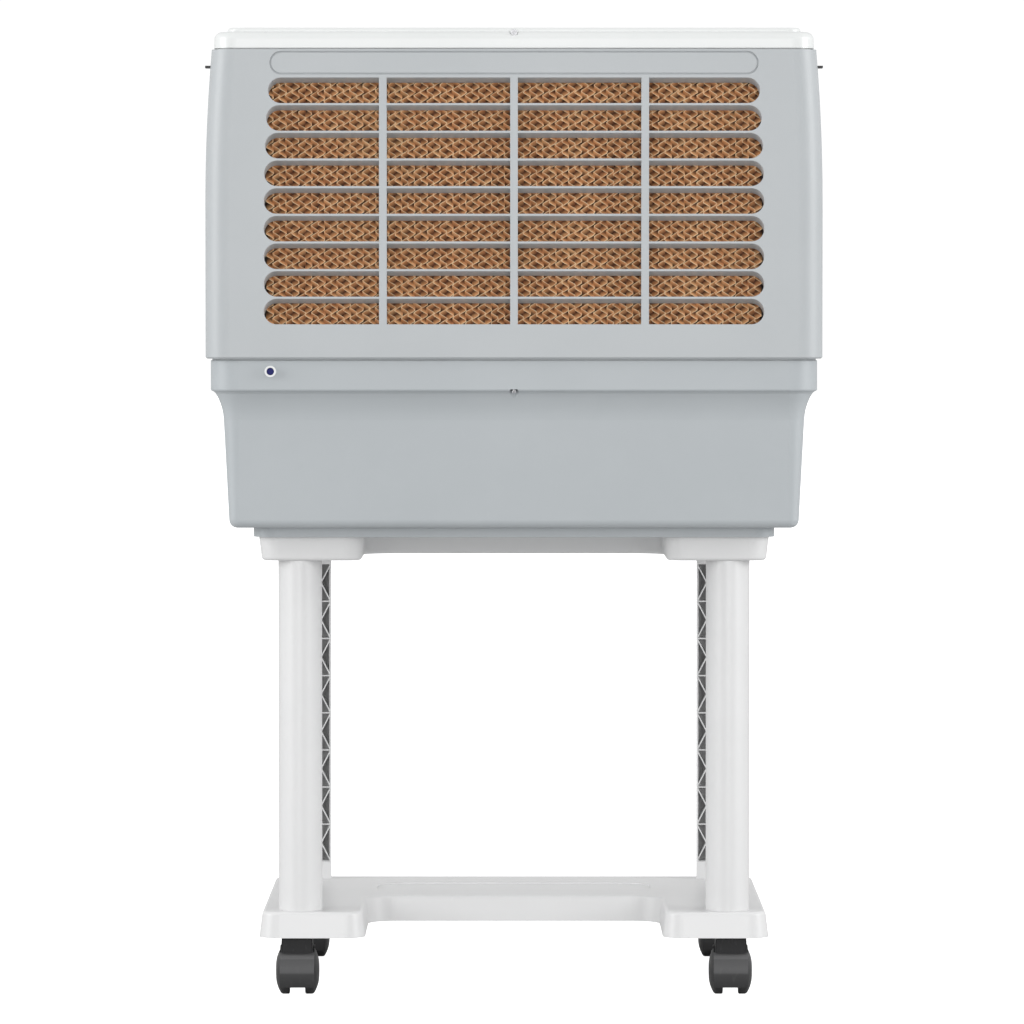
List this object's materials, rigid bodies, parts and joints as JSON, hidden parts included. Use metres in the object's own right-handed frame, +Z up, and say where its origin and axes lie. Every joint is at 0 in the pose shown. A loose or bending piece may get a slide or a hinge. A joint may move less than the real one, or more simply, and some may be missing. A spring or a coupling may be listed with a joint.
{
  "type": "evaporative air cooler",
  "caption": "Window-type evaporative air cooler on a castor trolley: louvred housing with cellulose pads, water tank, axial fan, pump, swing vanes and braced white legs.",
  "frame": {"origin": "on the floor under the middle of the trolley", "axes": "+Z up, +Y towards the air outlet, -Y towards the rear pad side with the water inlet, +X to the right seen from the rear"},
  "size_m": [0.644, 0.526, 1.0171],
  "materials": {
    "grey_panel": "fine satin",
    "grey_tank": "fine satin",
    "white_lid": "semi-gloss",
    "white_trolley": "satin",
    "cellulose_pad": "treated paper, corrugated",
    "steel": "bright turned",
    "zinc_plate": "zinc plated",
    "motor_paint": "black enamel",
    "fan_plastic": "semi-gloss",
    "black_plastic": "satin",
    "castor_hood": "satin",
    "castor_wheel": "satin, moulded tread",
    "white_fitting": "satin",
    "float_plastic": "gloss",
    "navy_rubber": "matt",
    "black_rubber": "matt",
    "hose_pvc": "soft, milky",
    "control_grey": "fine texture",
    "knob_plastic": "semi-gloss",
    "vane_plastic": "satin"
  },
  "bodies": {
    "chassis": {"lower_tray": "white_trolley", "upper_tray": "white_trolley", "leg_rear_left": "white_trolley", "leg_rear_right": "white_trolley", "leg_front_left": "white_trolley", "leg_front_right": "white_trolley", "leg_screws": "steel", "castor_stems": "steel", "tank": "grey_tank", "rear_panel": "grey_panel", "left_panel": "grey_panel", "right_panel": "grey_panel", "front_panel": "grey_panel", "top_cover": "white_lid", "rear_pad": "cellulose_pad", "left_pad": "cellulose_pad", "right_pad": "cellulose_pad", "water_distributor": "white_fitting", "pump_hose": "hose_pvc", "pump_body": "black_plastic", "float_valve": "white_fitting", "fan_shroud": "black_plastic", "motor": "motor_paint", "motor_bracket": "zinc_plate", "swing_motor": "black_plastic", "control_plate": "control_grey", "cord_gland": "white_fitting", "panel_screws": "steel"},
    "castor_rear_left": {"castor_rear_left_hood": "castor_hood", "castor_rear_left_axle": "steel"},
    "wheels_rear_left": {"castor_rear_left_wheels": "castor_wheel"},
    "castor_rear_right": {"castor_rear_right_hood": "castor_hood", "castor_rear_right_axle": "steel"},
    "wheels_rear_right": {"castor_rear_right_wheels": "castor_wheel"},
    "castor_front_left": {"castor_front_left_hood": "castor_hood", "castor_front_left_axle": "steel"},
    "wheels_front_left": {"castor_front_left_wheels": "castor_wheel"},
    "castor_front_right": {"castor_front_right_hood": "castor_hood", "castor_front_right_axle": "steel"},
    "wheels_front_right": {"castor_front_right_wheels": "castor_wheel"},
    "fan_rotor": {"fan": "fan_plastic", "motor_shaft": "steel"},
    "impeller": {"pump_impeller": "black_plastic"},
    "float": {"float_arm": "white_fitting", "float_ball": "float_plastic"},
    "inlet_plug": {"inlet_plug": "navy_rubber"},
    "drain_plug": {"drain_plug": "black_rubber"},
    "swing_vane_1": {"swing_vane_1": "vane_plastic"},
    "swing_vane_2": {"swing_vane_2": "vane_plastic"},
    "swing_vane_3": {"swing_vane_3": "vane_plastic"},
    "swing_vane_4": {"swing_vane_4": "vane_plastic"},
    "vane_link": {"vane_link_bar": "vane_plastic"},
    "tilt_vane_1": {"tilt_vane_1": "vane_plastic"},
    "tilt_vane_2": {"tilt_vane_2": "vane_plastic"},
    "tilt_vane_3": {"tilt_vane_3": "vane_plastic"},
    "speed_knob": {"speed_knob": "knob_plastic"},
    "swing_knob": {"swing_knob": "knob_plastic"},
    "pump_knob": {"pump_knob": "knob_plastic"},
    "left_latch": {"left_latch": "black_plastic"},
    "right_latch": {"right_latch": "black_plastic"}
  },
  "joints": [
    {"name": "castor_rear_left_swivel", "type": "hinge", "parent": "chassis", "child": "castor_rear_left", "pos_m": [-0.2289, -0.184, 0.055], "axis": [0, 0, 1], "continuous": true},
    {"name": "wheels_rear_left_roll", "type": "hinge", "parent": "castor_rear_left", "child": "wheels_rear_left", "pos_m": [-0.2289, -0.172, 0.025], "axis": [1, 0, 0], "continuous": true},
    {"name": "castor_rear_right_swivel", "type": "hinge", "parent": "chassis", "child": "castor_rear_right", "pos_m": [0.2289, -0.184, 0.055], "axis": [0, 0, 1], "continuous": true},
    {"name": "wheels_rear_right_roll", "type": "hinge", "parent": "castor_rear_right", "child": "wheels_rear_right", "pos_m": [0.2289, -0.172, 0.025], "axis": [1, 0, 0], "continuous": true},
    {"name": "castor_front_left_swivel", "type": "hinge", "parent": "chassis", "child": "castor_front_left", "pos_m": [-0.2289, 0.184, 0.055], "axis": [0, 0, 1], "continuous": true},
    {"name": "wheels_front_left_roll", "type": "hinge", "parent": "castor_front_left", "child": "wheels_front_left", "pos_m": [-0.2289, 0.196, 0.025], "axis": [1, 0, 0], "continuous": true},
    {"name": "castor_front_right_swivel", "type": "hinge", "parent": "chassis", "child": "castor_front_right", "pos_m": [0.2289, 0.184, 0.055], "axis": [0, 0, 1], "continuous": true},
    {"name": "wheels_front_right_roll", "type": "hinge", "parent": "castor_front_right", "child": "wheels_front_right", "pos_m": [0.2289, 0.196, 0.025], "axis": [1, 0, 0], "continuous": true},
    {"name": "fan_spin", "type": "hinge", "parent": "chassis", "child": "fan_rotor", "pos_m": [0, 0.148, 0.8386], "axis": [0, 1, 0], "continuous": true},
    {"name": "impeller_spin", "type": "hinge", "parent": "chassis", "child": "impeller", "pos_m": [0.2, -0.138, 0.5006], "axis": [0, 0, 1], "continuous": true},
    {"name": "float_lift", "type": "hinge", "parent": "chassis", "child": "float", "pos_m": [-0.2535, -0.226, 0.6536], "axis": [1, 0, 0], "range_deg": [0, 40]},
    {"name": "inlet_plug_pull", "type": "slide", "parent": "chassis", "child": "inlet_plug", "axis": [0, -1, 0], "range_m": [0, 0.02]},
    {"name": "drain_plug_pull", "type": "slide", "parent": "chassis", "child": "drain_plug", "axis": [0, 1, 0], "range_m": [0, 0.02]},
    {"name": "swing_vane_1_turn", "type": "hinge", "parent": "chassis", "child": "swing_vane_1", "pos_m": [-0.102, 0.2, 0.8386], "axis": [0, 0, 1], "range_deg": [-25, 25]},
    {"name": "swing_vane_2_turn", "type": "hinge", "parent": "chassis", "child": "swing_vane_2", "pos_m": [-0.034, 0.2, 0.8386], "axis": [0, 0, 1], "range_deg": [-25, 25]},
    {"name": "swing_vane_3_turn", "type": "hinge", "parent": "chassis", "child": "swing_vane_3", "pos_m": [0.034, 0.2, 0.8386], "axis": [0, 0, 1], "range_deg": [-25, 25]},
    {"name": "swing_vane_4_turn", "type": "hinge", "parent": "chassis", "child": "swing_vane_4", "pos_m": [0.102, 0.2, 0.8386], "axis": [0, 0, 1], "range_deg": [-25, 25]},
    {"name": "vane_link_travel", "type": "slide", "parent": "chassis", "child": "vane_link", "axis": [1, 0, 0], "range_m": [-0.0058, 0.0058]},
    {"name": "tilt_vane_1_turn", "type": "hinge", "parent": "chassis", "child": "tilt_vane_1", "pos_m": [0, 0.243, 0.7706], "axis": [1, 0, 0], "range_deg": [-30, 30]},
    {"name": "tilt_vane_2_turn", "type": "hinge", "parent": "chassis", "child": "tilt_vane_2", "pos_m": [0, 0.243, 0.8386], "axis": [1, 0, 0], "range_deg": [-30, 30]},
    {"name": "tilt_vane_3_turn", "type": "hinge", "parent": "chassis", "child": "tilt_vane_3", "pos_m": [0, 0.243, 0.9066], "axis": [1, 0, 0], "range_deg": [-30, 30]},
    {"name": "speed_knob_turn", "type": "hinge", "parent": "chassis", "child": "speed_knob", "pos_m": [-0.245, 0.255, 0.9006], "axis": [0, -1, 0], "range_deg": [0, 135]},
    {"name": "swing_knob_turn", "type": "hinge", "parent": "chassis", "child": "swing_knob", "pos_m": [-0.245, 0.255, 0.8386], "axis": [0, -1, 0], "range_deg": [0, 90]},
    {"name": "pump_knob_turn", "type": "hinge", "parent": "chassis", "child": "pump_knob", "pos_m": [-0.245, 0.255, 0.7766], "axis": [0, -1, 0], "range_deg": [0, 90]},
    {"name": "left_latch_push", "type": "slide", "parent": "chassis", "child": "left_latch", "axis": [1, 0, 0], "range_m": [0, 0.005]},
    {"name": "right_latch_push", "type": "slide", "parent": "chassis", "child": "right_latch", "axis": [-1, 0, 0], "range_m": [0, 0.005]}
  ],
  "couplings": [
    {"joint": "swing_vane_2_turn", "follows": "swing_vane_1_turn", "ratio": 1},
    {"joint": "swing_vane_3_turn", "follows": "swing_vane_1_turn", "ratio": 1},
    {"joint": "swing_vane_4_turn", "follows": "swing_vane_1_turn", "ratio": 1},
    {"joint": "vane_link_travel", "follows": "swing_vane_1_turn", "m_per_rad": 0.013},
    {"joint": "tilt_vane_1_turn", "follows": "tilt_vane_2_turn", "ratio": 1},
    {"joint": "tilt_vane_3_turn", "follows": "tilt_vane_2_turn", "ratio": 1}
  ]
}
